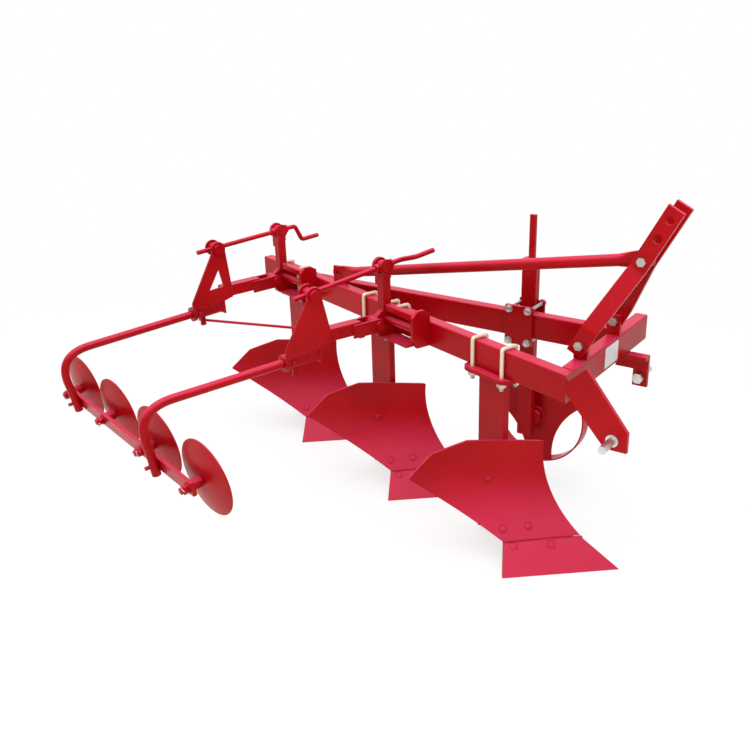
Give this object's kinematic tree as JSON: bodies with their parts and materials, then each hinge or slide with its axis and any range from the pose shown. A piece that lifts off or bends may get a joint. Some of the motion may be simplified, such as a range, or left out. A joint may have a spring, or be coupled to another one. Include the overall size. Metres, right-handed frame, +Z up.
{
  "type": "mouldboard plough with disc gang",
  "caption": "Tractor-mounted plough: mouldboard bodies staggered on a diagonal beam, a bent-bar mast, a gauge wheel and a trailing gang of small discs on cranked arms.",
  "frame": {"origin": "centre of the bounding box, on the floor under the shares", "axes": "+X forward to the tractor, +Y left to the unploughed land, +Z up"},
  "size_m": [1.988, 1.2291, 1.0456],
  "materials": {
    "red_paint": "gloss",
    "zinc": "satin",
    "cream_bolts": "satin"
  },
  "bodies": {
    "frame": {"adjuster_bracket_front": "red_paint", "adjuster_bracket_rear": "red_paint", "arm_pivot_pins": "red_paint", "brace_lug": "red_paint", "cross_beam": "red_paint", "diagonal_beam": "red_paint", "hitch_bracket_left": "red_paint", "hitch_pin_left": "zinc", "hitch_pin_right": "zinc", "hitch_plate_right": "red_paint", "land_beam": "red_paint", "landside_1": "red_paint", "landside_2": "red_paint", "landside_3": "red_paint", "leg_1": "red_paint", "leg_2": "red_paint", "leg_3": "red_paint", "leg_u_bolts": "cream_bolts", "mast_bar_left": "red_paint", "mast_bar_right": "red_paint", "mast_brace": "red_paint", "mast_brace_bolt": "zinc", "mast_ears": "red_paint", "mast_foot_bolts": "zinc", "mouldboard_1": "red_paint", "mouldboard_2": "red_paint", "mouldboard_3": "red_paint", "share_1": "red_paint", "share_2": "red_paint", "share_3": "red_paint", "wheel_clamp": "red_paint", "wheel_sleeve": "red_paint"},
    "wheel_post": {"wheel_post": "red_paint"},
    "gauge_wheel": {"gauge_wheel": "red_paint"},
    "gang": {"arm_frame_front": "red_paint", "arm_frame_rear": "red_paint", "arm_tubes": "red_paint", "disc_axles": "red_paint", "gang_bar": "red_paint", "gang_bolts": "red_paint", "tie_rod": "red_paint"},
    "crank_front": {"crank_screw_front": "red_paint", "post_trunnion_front": "red_paint"},
    "arm_nut_front": {"arm_trunnion_front": "red_paint"},
    "crank_rear": {"crank_screw_rear": "red_paint", "post_trunnion_rear": "red_paint"},
    "arm_nut_rear": {"arm_trunnion_rear": "red_paint"},
    "disc_1": {"disc_1": "red_paint"},
    "disc_2": {"disc_2": "red_paint"},
    "disc_3": {"disc_3": "red_paint"},
    "disc_4": {"disc_4": "red_paint"}
  },
  "joints": [
    {"name": "wheel_height", "type": "slide", "parent": "frame", "child": "wheel_post", "axis": [0, 0, 1], "range_m": [-0.06, 0.1]},
    {"name": "gauge_wheel_spin", "type": "hinge", "parent": "wheel_post", "child": "gauge_wheel", "pos_m": [0.47449, 0.55807, 0.239], "axis": [0, 1, 0], "continuous": true},
    {"name": "gang_lift", "type": "hinge", "parent": "frame", "child": "gang", "pos_m": [-0.24233, 0.29278, 0.592], "axis": [-0.9472, 0.3206, 0], "range_deg": [-8, 8]},
    {"name": "crank_tilt_front", "type": "hinge", "parent": "frame", "child": "crank_front", "pos_m": [0.08213, 0.22519, 0.773], "axis": [-0.9472, 0.3206, 0], "range_deg": [-6.6, 6.6]},
    {"name": "arm_nut_tilt_front", "type": "hinge", "parent": "gang", "child": "arm_nut_front", "pos_m": [-0.00508, -0.03245, 0.736], "axis": [-0.9472, 0.3206, 0], "range_deg": [-2.4, 2.4]},
    {"name": "crank_tilt_rear", "type": "hinge", "parent": "frame", "child": "crank_rear", "pos_m": [-0.54114, 0.43615, 0.773], "axis": [-0.9472, 0.3206, 0], "range_deg": [-6.8, 6.8]},
    {"name": "arm_nut_tilt_rear", "type": "hinge", "parent": "gang", "child": "arm_nut_rear", "pos_m": [-0.62512, 0.18804, 0.74997], "axis": [-0.9472, 0.3206, 0], "range_deg": [-2.2, 2.2]},
    {"name": "disc_1_spin", "type": "hinge", "parent": "gang", "child": "disc_1", "pos_m": [0.02974, -0.5189, 0.36215], "axis": [0.1944, 0.9719, 0.1327], "continuous": true},
    {"name": "disc_2_spin", "type": "hinge", "parent": "gang", "child": "disc_2", "pos_m": [-0.27287, -0.4222, 0.34781], "axis": [0.1944, 0.9719, 0.1327], "continuous": true},
    {"name": "disc_3_spin", "type": "hinge", "parent": "gang", "child": "disc_3", "pos_m": [-0.57547, -0.32551, 0.33347], "axis": [0.1944, 0.9719, 0.1327], "continuous": true},
    {"name": "disc_4_spin", "type": "hinge", "parent": "gang", "child": "disc_4", "pos_m": [-0.87807, -0.22882, 0.31913], "axis": [0.1944, 0.9719, 0.1327], "continuous": true}
  ],
  "couplings": [
    {"joint": "crank_tilt_front", "follows": "gang_lift", "ratio": 0.76674},
    {"joint": "arm_nut_tilt_front", "follows": "gang_lift", "ratio": -0.23326},
    {"joint": "crank_tilt_rear", "follows": "gang_lift", "ratio": 0.78818},
    {"joint": "arm_nut_tilt_rear", "follows": "gang_lift", "ratio": -0.21182}
  ]
}
